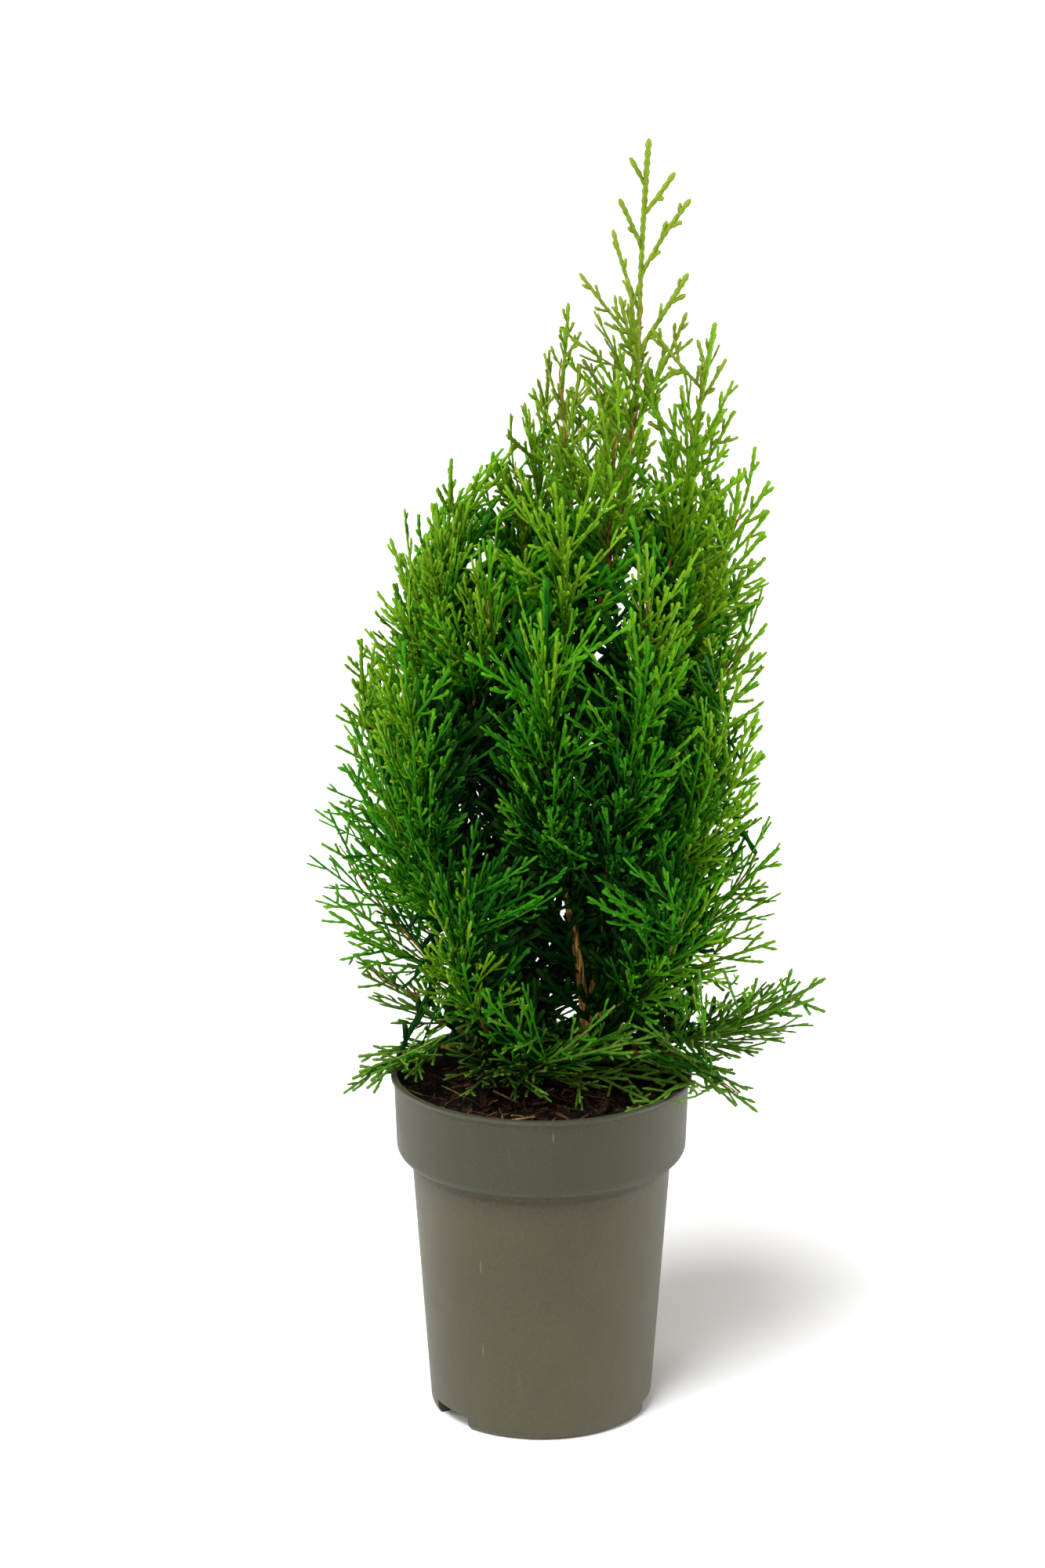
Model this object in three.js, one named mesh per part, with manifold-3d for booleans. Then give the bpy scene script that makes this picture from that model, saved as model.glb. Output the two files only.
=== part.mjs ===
// Young potted thuja: a round nursery pot full of compost and a clump of four stems with
// upswept boughs, each ending in its own mass of foliage. Millimetres, +Z up.
// The origin is on the pot's axis, in the plane of its flat underside.
import * as THREE from 'three';
import { mergeVertices } from 'three/addons/utils/BufferGeometryUtils.js';
import Module from 'manifold-3d';

const wasm = await Module();
wasm.setup();

// ---- driving dimensions ----
const POT = {
  height: 175.5, // underside to rim
  wall: 1.4,
  rimRadius: 75,
  lipHeight: 2.3,
  lipStep: 1.6, // how far the lip stands out from the collar
  collarFootRadius: 72.2,
  collarFootHeight: 133, // underside of the collar
  collarRounding: 6.5,
  bodyTopRadius: 64.8,
  bodyFootRadius: 55.6,
  footRadius: 51.5, // flat underside
  footRounding: 5,
  sides: 28,
};
const NOTCH = {
  azimuths: [-145, -10, 102.5], // degrees, where the drain channels leave the pot
  width: 26,
  height: 6,
  inner: 17, // radius where a channel ends under the pot
  drainHole: 4, // radius of the hole in the roof of each channel
  drainReach: 34,
};
const SOIL_TOP = 164;
const GAP = 0.3; // between neighbouring solids
const LIMB_SIDES = 6;
const MASS_SIDES = 8;
const MASS_BANDS = 6;

// Each stem runs through its points from below the soil to its own tip.
const STEMS = {
  trunk: {
    path: [[20, 17, 150], [21.5, 12, 205], [17, 8, 241], [10, 4, 288], [17, 2, 364],
      [33, 0, 441], [45, 0, 505], [46, 0, 565], [51, 0, 641]],
    foot: 3.6, middle: 1.8, tip: 0.7, flare: 1.6,
  },
  stem_right: {
    path: [[21, 13, 188], [25, 12, 210], [31, 10, 249], [41, 7, 295], [62, 2, 435], [83, -1, 553]],
    foot: 2.3, middle: 1.6, tip: 0.7, flare: 1.2,
  },
  stem_left: {
    path: [[-20, 27, 150], [-26, 22, 195], [-35, 15, 245], [-44, 6, 315], [-47, 1, 395], [-43, -1, 487]],
    foot: 2.9, middle: 1.7, tip: 0.7, flare: 1.5,
  },
  stem_back: {
    path: [[-14, 35, 150], [-17, 36, 250], [-11, 33, 350], [-3, 24, 450], [4, 14, 530]],
    foot: 2.7, middle: 1.7, tip: 0.7, flare: 1.5,
  },
};

// A limb leaves its stem at a height, towards an azimuth (0 is +X, 90 is +Y), and its tip lies at
// a reach and a rise from there. Foliage clothes it from the share called bare to the tip, as a
// mass of half-width wide in the limb's upright plane and half-width deep across that plane.
// Lift bends the limb: over 0 it sets out level and turns up, under 0 it arches over and droops.
const LIMBS = [
  { name: 'leader', stem: 'trunk', leaves: 503, azimuth: 0, reach: 5, rise: 137, bare: 0, wide: 27, deep: 17, lift: 0 },
  { name: 'top_right', stem: 'stem_right', leaves: 428, azimuth: 0, reach: 22, rise: 125, bare: 0, wide: 25, deep: 25, lift: 0 },
  { name: 'top_left', stem: 'trunk', leaves: 436, azimuth: 180, reach: 20, rise: 129, bare: 0, wide: 22, deep: 24 },
  { name: 'top_front', stem: 'trunk', leaves: 424, azimuth: -78, reach: 32, rise: 114, bare: 0, wide: 26, deep: 27 },
  { name: 'top_back', stem: 'trunk', leaves: 424, azimuth: 80, reach: 34, rise: 110, bare: 0, wide: 27, deep: 29 },
  { name: 'left_peak', stem: 'stem_back', leaves: 398, azimuth: -112, reach: 18, rise: 110, bare: 0, wide: 21, deep: 25 },
  { name: 'right_shoulder', stem: 'stem_right', leaves: 372, azimuth: -2, reach: 49, rise: 122, bare: 0.04, wide: 25, deep: 31 },
  { name: 'left_shoulder', stem: 'stem_left', leaves: 368, azimuth: 0, reach: 5, rise: 119, bare: 0, wide: 26, deep: 31, lift: 0 },
  { name: 'left_upper', stem: 'stem_left', leaves: 318, azimuth: 180, reach: 12, rise: 124, bare: 0.03, wide: 24, deep: 31 },
  { name: 'front_upper', stem: 'trunk', leaves: 346, azimuth: -95, reach: 54, rise: 134, bare: 0.05, wide: 31, deep: 34 },
  { name: 'front_left_upper', stem: 'stem_left', leaves: 322, azimuth: -74, reach: 66, rise: 142, bare: 0.05, wide: 30, deep: 34 },
  { name: 'front_right_upper', stem: 'stem_right', leaves: 328, azimuth: -86, reach: 66, rise: 136, bare: 0.05, wide: 30, deep: 34 },
  { name: 'right_upper', stem: 'stem_right', leaves: 306, azimuth: -4, reach: 59, rise: 128, bare: 0.06, wide: 26, deep: 32 },
  { name: 'back_right_upper', stem: 'stem_right', leaves: 326, azimuth: 54, reach: 70, rise: 136, bare: 0.05, wide: 31, deep: 35 },
  { name: 'back_upper', stem: 'stem_back', leaves: 336, azimuth: 58, reach: 54, rise: 144, bare: 0.04, wide: 31, deep: 35 },
  { name: 'back_left_upper', stem: 'stem_back', leaves: 318, azimuth: 148, reach: 66, rise: 130, bare: 0.05, wide: 30, deep: 35 },
  { name: 'left_outer', stem: 'stem_left', leaves: 240, azimuth: 184, reach: 56, rise: 146, bare: 0.1, wide: 27, deep: 31 },
  { name: 'right_outer', stem: 'stem_right', leaves: 240, azimuth: -8, reach: 74, rise: 126, bare: 0.1, wide: 27, deep: 32 },
  { name: 'front_left', stem: 'stem_left', leaves: 238, azimuth: -112, reach: 84, rise: 168, bare: 0.14, wide: 30, deep: 34 },
  { name: 'front_plume', stem: 'trunk', leaves: 262, azimuth: -98, reach: 94, rise: 174, bare: 0.22, wide: 30, deep: 31 },
  { name: 'front_right', stem: 'stem_right', leaves: 242, azimuth: -78, reach: 90, rise: 178, bare: 0.18, wide: 31, deep: 34 },
  { name: 'front_right_outer', stem: 'stem_right', leaves: 250, azimuth: -40, reach: 84, rise: 146, bare: 0.12, wide: 29, deep: 33 },
  { name: 'back_right', stem: 'stem_right', leaves: 232, azimuth: 58, reach: 86, rise: 154, bare: 0.12, wide: 31, deep: 36 },
  { name: 'back', stem: 'stem_back', leaves: 230, azimuth: 84, reach: 64, rise: 166, bare: 0.12, wide: 32, deep: 36 },
  { name: 'back_left', stem: 'stem_back', leaves: 222, azimuth: 162, reach: 76, rise: 134, bare: 0.12, wide: 31, deep: 36 },
  { name: 'heart', stem: 'stem_back', leaves: 196, azimuth: -15, reach: 12, rise: 130, bare: 0.06, wide: 27, deep: 29 },
  { name: 'left_low', stem: 'stem_left', leaves: 208, azimuth: 187, reach: 80, rise: 102, bare: 0.22, wide: 27, deep: 30 },
  { name: 'right_low', stem: 'stem_right', leaves: 205, azimuth: -6, reach: 92, rise: 104, bare: 0.22, wide: 27, deep: 31 },
  { name: 'front_left_low', stem: 'stem_left', leaves: 186, azimuth: -100, reach: 92, rise: 120, bare: 0.24, wide: 29, deep: 29 },
  { name: 'front_right_low', stem: 'stem_right', leaves: 198, azimuth: -56, reach: 90, rise: 98, bare: 0.28, wide: 28, deep: 32 },
  { name: 'back_right_low', stem: 'stem_right', leaves: 198, azimuth: 52, reach: 90, rise: 94, bare: 0.24, wide: 29, deep: 35 },
  { name: 'back_left_low', stem: 'stem_back', leaves: 186, azimuth: 125, reach: 76, rise: 102, bare: 0.24, wide: 30, deep: 36 },
  { name: 'left_skirt', stem: 'stem_left', leaves: 182, azimuth: 191, reach: 68, rise: 66, bare: 0.28, wide: 19, deep: 14 },
  { name: 'right_skirt', stem: 'trunk', leaves: 184, azimuth: -8, reach: 120, rise: 42, bare: 0.34, wide: 19, deep: 14 },
  { name: 'front_skirt', stem: 'stem_left', leaves: 172, azimuth: -66, reach: 70, rise: 28, bare: 0.3, wide: 12, deep: 26 },
  { name: 'back_skirt', stem: 'stem_back', leaves: 174, azimuth: 80, reach: 58, rise: 44, bare: 0.28, wide: 16, deep: 34 },
  { name: 'right_droop', stem: 'trunk', leaves: 174, azimuth: -20, reach: 92, rise: -14, bare: 0.4, wide: 7, deep: 21, lift: -0.36 },
  { name: 'left_droop', stem: 'stem_left', leaves: 176, azimuth: -151, reach: 86, rise: -6, bare: 0.38, wide: 7, deep: 24, lift: -0.3 },
];
const LIFT = 0.16; // usual bend of a limb, as a share of its length
const BOUGH_FROM = 0.22; // a limb bare for less than this share has no bough of its own
const BOUGH_INSIDE = 0.1; // share of the limb that its bough reaches into the mass
const BOUGH_RADIUS = 1.9;

const COLOURS = {
  pot: { color: 0x63604f, roughness: 0.5, metalness: 0 },
  soil: { color: 0x24150d, roughness: 1, metalness: 0 },
  bark: { color: 0x7a4a28, roughness: 0.9, metalness: 0 },
  foliage: { color: 0x3f7d17, roughness: 0.6, metalness: 0 },
};

// ---- solids and cuts ----

// The closed solid of a geometry, without the flat triangles that a lathe leaves at its poles.
function solidOf(geometry) {
  const bare = new THREE.BufferGeometry().setAttribute('position', geometry.getAttribute('position'));
  bare.setIndex(geometry.index);
  const merged = mergeVertices(bare, 1e-4);
  const corners = merged.index.array;
  const triVerts = [];
  for (let i = 0; i < corners.length; i += 3) {
    const [a, b, c] = corners.slice(i, i + 3);
    if (a !== b && b !== c && c !== a) triVerts.push(a, b, c);
  }
  return new wasm.Manifold(new wasm.Mesh({
    numProp: 3,
    vertProperties: merged.getAttribute('position').array,
    triVerts: new Uint32Array(triVerts),
  }));
}

function geometryOf(solid) {
  const mesh = solid.getMesh();
  const geometry = new THREE.BufferGeometry();
  geometry.setAttribute('position', new THREE.BufferAttribute(new Float32Array(mesh.vertProperties), 3));
  geometry.setIndex(new THREE.BufferAttribute(new Uint32Array(mesh.triVerts), 1));
  geometry.computeVertexNormals();
  return geometry;
}

function boxSolid(low, high) {
  const size = high.map((value, axis) => value - low[axis]);
  const box = new THREE.BoxGeometry(...size);
  return solidOf(box.translate(...low.map((value, axis) => value + size[axis] / 2)));
}

// A round solid about Z from a profile of [radius, height] that runs up from the axis.
function turned(profile) {
  const points = profile.map(([radius, height]) => new THREE.Vector2(radius, height));
  return solidOf(new THREE.LatheGeometry(points, POT.sides).rotateX(Math.PI / 2));
}

function largestPiece(solid) {
  return solid.decompose().reduce((best, piece) => (piece.volume() > best.volume() ? piece : best));
}

// ---- pot and soil ----

// Points of a quarter round from straight down the wall to level, both ends included.
function rounding(centreRadius, centreHeight, across, down, steps = 3) {
  return Array.from({ length: steps + 1 }, (_, step) => {
    const turn = ((1 - step / steps) * Math.PI) / 2;
    return [centreRadius + across * Math.cos(turn), centreHeight - down * Math.sin(turn)];
  });
}

// The pot's outer skin moved inwards by inset, from the middle of its floor up to the given height.
function potProfile(inset, top) {
  const foot = rounding(
    POT.footRadius - inset, POT.footRounding + inset,
    POT.bodyFootRadius - POT.footRadius, POT.footRounding,
  );
  const ledge = POT.collarFootRadius - POT.collarRounding;
  const collar = rounding(
    ledge - inset, POT.collarFootHeight + POT.collarRounding + inset,
    POT.collarRounding, POT.collarRounding,
  );
  return [
    [0, inset],
    ...foot,
    [POT.bodyTopRadius - inset, POT.collarFootHeight + inset],
    ...collar,
    [collarRadiusAt(top) - inset, top],
    [0, top],
  ];
}

function collarRadiusAt(height) {
  const start = POT.collarFootHeight + POT.collarRounding;
  const share = (height - start) / (POT.height - start);
  return THREE.MathUtils.lerp(POT.collarFootRadius, POT.rimRadius - POT.lipStep, share);
}

function lip() {
  const top = POT.height;
  const under = top - POT.lipHeight;
  return turned([[0, under - POT.lipStep], [collarRadiusAt(under), under - POT.lipStep],
    [POT.rimRadius, under], [POT.rimRadius, top], [0, top]]);
}

// The drain channels under the pot, wider and taller by grow on every side but the underside.
function channels(grow) {
  return NOTCH.azimuths.map((azimuth) => {
    const reach = POT.rimRadius;
    const half = NOTCH.width / 2 + grow;
    return boxSolid([NOTCH.inner - grow, -half, -1], [reach, half, NOTCH.height + grow])
      .rotate([0, 0, azimuth]);
  });
}

function drainHoles() {
  return NOTCH.azimuths.map((azimuth) => {
    const turn = THREE.MathUtils.degToRad(azimuth);
    const hole = new THREE.CylinderGeometry(NOTCH.drainHole, NOTCH.drainHole, 4 * NOTCH.height, 12);
    hole.rotateX(Math.PI / 2);
    return solidOf(hole.translate(NOTCH.drainReach * Math.cos(turn), NOTCH.drainReach * Math.sin(turn), 0));
  });
}

function cutAll(solid, cutters) {
  return cutters.reduce((left, cutter) => left.subtract(cutter), solid);
}

function pot() {
  const outside = turned(potProfile(0, POT.height)).add(lip());
  const inside = cutAll(turned(potProfile(POT.wall, POT.height + 1)), channels(POT.wall));
  return cutAll(outside.subtract(inside), [...channels(0), ...drainHoles()]);
}

function soil() {
  return cutAll(turned(potProfile(POT.wall + GAP, SOIL_TOP)), channels(POT.wall + GAP));
}

// ---- limbs and foliage ----

// A lathe of [radius, share of the length] bent along a curve. Its section is stretched by wide in
// the curve's own upright plane and by deep across that plane, and ripple(share, turn) makes it uneven.
function bent(profile, sides, curve, wide = 1, deep = 1, ripple = () => 1) {
  const points = profile.map(([radius, share]) => new THREE.Vector2(radius, share));
  const geometry = new THREE.LatheGeometry(points, sides);
  const chord = curve.getPoint(1).sub(curve.getPoint(0));
  const across = new THREE.Vector3(-chord.y, chord.x, 0);
  if (across.length() < 0.02 * chord.length()) across.set(0, 1, 0);
  across.normalize();
  const position = geometry.getAttribute('position');
  for (let i = 0; i < position.count; i += 1) {
    const share = THREE.MathUtils.clamp(position.getY(i), 0, 1);
    const along = curve.getTangent(share);
    const over = new THREE.Vector3().crossVectors(along, across).normalize();
    const swell = ripple(share, Math.atan2(position.getZ(i), position.getX(i)));
    const point = curve.getPoint(share)
      .addScaledVector(over, position.getX(i) * wide * swell)
      .addScaledVector(across, position.getZ(i) * deep * swell);
    position.setXYZ(i, point.x, point.y, point.z);
  }
  return solidOf(geometry);
}

function stemCurve(stem) {
  return new THREE.CatmullRomCurve3(stem.path.map((point) => new THREE.Vector3(...point)), false, 'centripetal');
}

// Radius along a stem: a root flare at the soil, then a steady taper through the middle to the tip.
function stemRadius(stem, share) {
  const taper = share < 0.5
    ? THREE.MathUtils.lerp(stem.foot, stem.middle, Math.cbrt(share * 2))
    : THREE.MathUtils.lerp(stem.middle, stem.tip, share * 2 - 1);
  const flare = 1 + (stem.flare - 1) * Math.exp(-Math.max(0, share - 0.03) * 60);
  return taper * flare;
}

const STEM_RINGS = 13;

function stemSolid(stem, grow = 0) {
  const shares = Array.from({ length: STEM_RINGS }, (_, ring) => (ring / (STEM_RINGS - 1)) ** 1.3);
  const profile = [[0, 0], ...shares.map((share) => [stemRadius(stem, share) + grow, share]), [0, 1]];
  const whole = bent(profile, LIMB_SIDES, stemCurve(stem));
  return whole.subtract(boxSolid([-100, -100, 0], [100, 100, SOIL_TOP + GAP - grow]));
}

// The point of a stem at a height, found by halving.
function stemPointAt(stem, height) {
  const curve = stemCurve(stem);
  let [low, high] = [0, 1];
  for (let step = 0; step < 30; step += 1) {
    const middle = (low + high) / 2;
    if (curve.getPoint(middle).z < height) low = middle;
    else high = middle;
  }
  return curve.getPoint(low);
}

// The part of a limb's curve between two shares.
class LimbCurve extends THREE.Curve {
  constructor(limb, from, to) {
    super();
    const turn = THREE.MathUtils.degToRad(limb.azimuth);
    const start = stemPointAt(STEMS[limb.stem], limb.leaves);
    const outward = new THREE.Vector3(Math.cos(turn), Math.sin(turn), 0);
    const tip = start.clone().addScaledVector(outward, limb.reach);
    tip.z += limb.rise;
    const bend = (limb.lift ?? LIFT) * start.distanceTo(tip);
    const middle = start.clone().lerp(tip, 0.5).addScaledVector(outward, Math.max(0, bend));
    middle.z -= bend;
    this.whole = new THREE.QuadraticBezierCurve3(start, middle, tip);
    this.from = from;
    this.to = to;
  }

  getPoint(share, target) {
    return this.whole.getPoint(THREE.MathUtils.lerp(this.from, this.to, share), target);
  }
}

function boughSolid(limb, grow = 0) {
  const curve = new LimbCurve(limb, 0, limb.bare + BOUGH_INSIDE);
  const rings = [0, 0.5, 1];
  const profile = rings.map((share) => [BOUGH_RADIUS * (1 - 0.45 * share) + grow, share]);
  return bent([[0, 0], ...profile, [0, 1]], LIMB_SIDES, curve);
}

// Half-width of a mass along its length, from 0 through 1 to 0: blunt at its foot, drawn out to its tip.
function plume(share) {
  return 1.86 * share ** 0.5 * (1 - share) ** 0.72;
}

// Slow waves, different on each mass, that stand in for the tufts of a mass.
function tufts(seed) {
  return (share, turn) => 1
    + 0.13 * Math.sin(3 * turn + 5 * share + seed)
    + 0.09 * Math.sin(2 * turn - 9 * share + 2.3 * seed);
}

function massSolid(limb, seed, grow = 0) {
  const curve = new LimbCurve(limb, limb.bare, 1);
  const profile = Array.from({ length: MASS_BANDS + 1 }, (_, band) => {
    const share = (1 - Math.cos((band / MASS_BANDS) * Math.PI)) / 2;
    return [plume(share), share];
  });
  profile[0][0] = 0;
  profile[MASS_BANDS][0] = 0;
  return bent(profile, MASS_SIDES, curve, limb.wide + grow, limb.deep + grow, tufts(seed));
}

// ---- the object ----

const thuja = new THREE.Group();

function addNode(name, solid, finish) {
  const mesh = new THREE.Mesh(geometryOf(solid), new THREE.MeshStandardMaterial(COLOURS[finish]));
  mesh.name = name;
  thuja.add(mesh);
}

addNode('pot', pot(), 'pot');
addNode('soil', soil(), 'soil');

const limbs = []; // every finished stem and bough, larger by the gap, to cut its neighbours
for (const [name, stem] of Object.entries(STEMS)) {
  addNode(name, largestPiece(cutAll(stemSolid(stem), limbs)), 'bark');
  limbs.push(stemSolid(stem, GAP));
}
const boughs = LIMBS.map((limb, index) => {
  if (limb.bare < BOUGH_FROM) return [];
  const others = [...limbs, massSolid(limb, index, GAP)];
  addNode(`bough_${limb.name}`, largestPiece(cutAll(boughSolid(limb), others)), 'bark');
  limbs.push(boughSolid(limb, GAP));
  return [limbs.length - 1];
});

// A mass is cut round every limb but the bough that ends on it, then round the masses before it.
const masses = [turned(potProfile(-GAP, POT.height + GAP)).add(lip().scale([1.01, 1.01, 1]))];
LIMBS.forEach((limb, index) => {
  const others = limbs.filter((_, at) => !boughs[index].includes(at));
  addNode(`foliage_${limb.name}`, largestPiece(cutAll(massSolid(limb, index), [...others, ...masses])), 'foliage');
  masses.push(massSolid(limb, index, 2 * GAP));
});

export default thuja;
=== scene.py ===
import math

import bpy
import numpy as np
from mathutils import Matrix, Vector


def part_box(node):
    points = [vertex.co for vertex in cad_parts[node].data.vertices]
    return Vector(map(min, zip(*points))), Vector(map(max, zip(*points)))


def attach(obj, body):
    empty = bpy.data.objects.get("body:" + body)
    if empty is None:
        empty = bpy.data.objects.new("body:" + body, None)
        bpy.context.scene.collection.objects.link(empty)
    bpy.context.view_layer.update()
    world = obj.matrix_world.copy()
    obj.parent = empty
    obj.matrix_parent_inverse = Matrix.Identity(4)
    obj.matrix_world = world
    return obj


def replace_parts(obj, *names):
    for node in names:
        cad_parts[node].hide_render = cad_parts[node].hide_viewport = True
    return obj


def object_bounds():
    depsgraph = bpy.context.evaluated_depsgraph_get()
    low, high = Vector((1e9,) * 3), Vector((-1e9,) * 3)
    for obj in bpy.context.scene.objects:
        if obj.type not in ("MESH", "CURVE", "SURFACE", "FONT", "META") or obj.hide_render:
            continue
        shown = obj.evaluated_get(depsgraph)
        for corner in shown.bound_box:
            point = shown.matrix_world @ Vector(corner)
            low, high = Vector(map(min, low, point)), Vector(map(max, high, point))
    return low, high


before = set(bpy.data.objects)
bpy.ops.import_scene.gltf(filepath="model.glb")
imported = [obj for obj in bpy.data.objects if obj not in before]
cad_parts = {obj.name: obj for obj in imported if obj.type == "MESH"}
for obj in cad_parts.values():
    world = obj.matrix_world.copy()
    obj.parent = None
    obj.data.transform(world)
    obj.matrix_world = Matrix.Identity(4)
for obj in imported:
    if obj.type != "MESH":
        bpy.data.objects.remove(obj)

CAD_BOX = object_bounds()
MM = 0.001
UP = np.array([0.0, 0.0, 1.0])
chance = np.random.default_rng(20)

STEMS = ("trunk", "stem_right", "stem_left", "stem_back")
BOUGHS = sorted(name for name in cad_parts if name.startswith("bough_"))
MASSES = sorted(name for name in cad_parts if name.startswith("foliage_"))
POT_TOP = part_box("pot")[1][2]
RIM_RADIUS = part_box("pot")[1][0]
SOIL_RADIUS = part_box("soil")[1][0]
SOIL_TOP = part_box("soil")[1][2]
CROWN_MIDDLE = np.array([0.006, 0.008, 0.0])  # of the clump, seen from above
STEM_END_LENGTH = 0.115  # of the green shoot at the top of each stem


# ---- vectors ----

def unit(vectors):
    """Vectors scaled to length 1, along the last axis."""
    return vectors / np.maximum(np.linalg.norm(vectors, axis=-1, keepdims=True), 1e-12)


def turned(vectors, axes, angles):
    """Vectors turned about unit axes by angles in radians."""
    cosine, sine = np.cos(angles)[..., None], np.sin(angles)[..., None]
    along = np.sum(vectors * axes, axis=-1, keepdims=True)
    return vectors * cosine + np.cross(axes, vectors) * sine + axes * along * (1 - cosine)


def waves(points, size, seed, count=5):
    """A smooth uneven field of about -1 to 1 over points, with bumps of about that size."""
    dice = np.random.default_rng(seed)
    total = np.zeros(points.shape[:-1])
    for _ in range(count):
        direction = unit(dice.normal(size=3)) * 2 * math.pi / size * dice.uniform(0.6, 1.6)
        total += np.sin(points @ direction + dice.uniform(0, 2 * math.pi))
    return total / math.sqrt(count)


def circle(count):
    """The cosines and sines of even turns."""
    turn = np.linspace(0, 2 * math.pi, count, endpoint=False)
    return np.stack([np.cos(turn), np.sin(turn)])


def blend_rows(rows, share):
    """Rows of an array, interpolated at shares of its length."""
    place = share * (len(rows) - 1)
    index = np.clip(place.astype(int), 0, len(rows) - 2)
    rest = (place - index)[:, None]
    return rows[index] * (1 - rest) + rows[index + 1] * rest


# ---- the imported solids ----

def node_mesh(name):
    """(points, edges, triangles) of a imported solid."""
    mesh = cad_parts[name].data
    mesh.calc_loop_triangles()
    points = np.array([vertex.co[:] for vertex in mesh.vertices])
    edges = np.array([edge.vertices[:] for edge in mesh.edges])
    return points, edges, np.array([triangle.vertices[:] for triangle in mesh.loop_triangles])


def cut_points(points, edges, axis, height):
    """Where a solid's edges cross the plane at that height along an axis."""
    side = points @ axis - height
    low, high = edges[:, 0], edges[:, 1]
    crossing = side[low] * side[high] < 0
    share = (side[low] / np.where(crossing, side[low] - side[high], 1))[crossing, None]
    return points[low[crossing]] * (1 - share) + points[high[crossing]] * share


def longest_axis(points):
    """The direction in which points spread most, away from the middle of the soil."""
    spread = np.linalg.eigh(np.cov((points - points.mean(axis=0)).T))
    axis = spread[1][:, -1]
    return axis * np.sign((points.mean(axis=0) - UP * SOIL_TOP) @ axis)


class Slices:
    """A long solid as cuts across its length, from its foot to its tip."""

    def __init__(self, name, axis=None, count=12):
        self.points, edges, self.triangles = node_mesh(name)
        self.axis = longest_axis(self.points) if axis is None else axis
        along = self.points @ self.axis
        self.low, high = along.min(), along.max()
        self.length = high - self.low
        heights = self.low + self.length * np.linspace(0.02, 0.98, count)
        self.cuts = [cut_points(self.points, edges, self.axis, height) for height in heights]
        centres = np.array([cut.mean(axis=0) for cut in self.cuts])
        ends = [self.points[along.argmin()], self.points[along.argmax()]]
        self.middle = np.vstack([ends[0], centres[1:-1], ends[1]])

    def centre(self, share):
        """Points of the middle line, at shares of the length."""
        return blend_rows(self.middle, np.atleast_1d(share))

    def share_of(self, points):
        """Share of the length at which points lie."""
        return (points @ self.axis - self.low) / self.length

    def radii(self):
        """Mean radius of each cut."""
        return np.array([np.linalg.norm(cut - cut.mean(axis=0), axis=1).mean() for cut in self.cuts])

    def spread_points(self, spacing, tries=500):
        """Points spread evenly over the surface, about spacing(points) apart."""
        corners = self.points[self.triangles]
        sides = corners[:, 1:] - corners[:, :1]
        areas = np.linalg.norm(np.cross(sides[:, 0], sides[:, 1]), axis=1)
        owner = chance.choice(len(areas), tries, p=areas / areas.sum())
        place = chance.uniform(size=(tries, 2))
        place = np.where(place.sum(axis=1, keepdims=True) > 1, 1 - place, place)
        found = corners[owner, 0] + np.sum(sides[owner] * place[..., None], axis=1)
        gap = spacing(found)
        chosen = [0]
        distance = np.linalg.norm(found - found[0], axis=1) / gap
        while distance.max() > 1:
            chosen.append(distance.argmax())
            distance = np.minimum(distance, np.linalg.norm(found - found[chosen[-1]], axis=1) / gap)
        return found[chosen]


class Envelope:
    """The outline of the whole crown, cut across at many heights."""

    def __init__(self, names, levels=26, turns=24, band=0.02):
        points = np.vstack([node_mesh(name)[0] for name in names])
        self.heights = np.linspace(points[:, 2].min(), points[:, 2].max(), levels)
        self.directions = circle(turns)
        cuts = [points[abs(points[:, 2] - height) < band, :2] for height in self.heights]
        self.reach = np.array([np.max(cut @ self.directions, axis=0) for cut in cuts])

    def height_share(self, points):
        """Share of the crown's height at which points lie."""
        return (points[:, 2] - self.heights[0]) / (self.heights[-1] - self.heights[0])

    def depth(self, points):
        """How deep inside the crown points lie, level with its side."""
        reach = blend_rows(self.reach, np.clip(self.height_share(points), 0, 1))
        return np.min(reach - points[:, :2] @ self.directions, axis=1)


# ---- making pieces ----

def new_piece(name, points, faces, material, slot, smooth=True):
    """A mesh from points and a list of face arrays, each with one row of corners per face. Columns of
    points after the third are kept as the attribute called scale."""
    mesh = bpy.data.meshes.new(name)
    mesh.vertices.add(len(points))
    mesh.vertices.foreach_set("co", np.asarray(points[:, :3], np.float32).ravel())
    sizes = np.concatenate([np.full(len(block), block.shape[1]) for block in faces])
    corners = np.concatenate([block.ravel() for block in faces]).astype(np.int32)
    mesh.loops.add(len(corners))
    mesh.loops.foreach_set("vertex_index", corners)
    mesh.polygons.add(len(sizes))
    starts = np.concatenate([[0], np.cumsum(sizes)[:-1]]).astype(np.int32)
    mesh.polygons.foreach_set("loop_start", starts)
    mesh.polygons.foreach_set("use_smooth", np.full(len(sizes), smooth))
    if points.shape[1] > 3:
        scale = mesh.attributes.new("scale", "FLOAT_VECTOR", "POINT")
        scale.data.foreach_set("vector", np.asarray(points[:, 3:], np.float32).ravel())
    mesh.update(calc_edges=True)
    mesh.materials.append(material)
    piece = bpy.data.objects.new(name, mesh)
    bpy.context.scene.collection.objects.link(piece)
    if slot:
        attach(piece, "root")
    return piece


def ring_faces(rings, sides):
    """Quads between rings of points that follow each other."""
    ring, side = np.meshgrid(np.arange(rings - 1), np.arange(sides), indexing="ij")
    here, beyond = ring * sides, (ring + 1) * sides
    after = (side + 1) % sides
    return np.stack([here + side, here + after, beyond + after, beyond + side], axis=-1).reshape(-1, 4)


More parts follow.
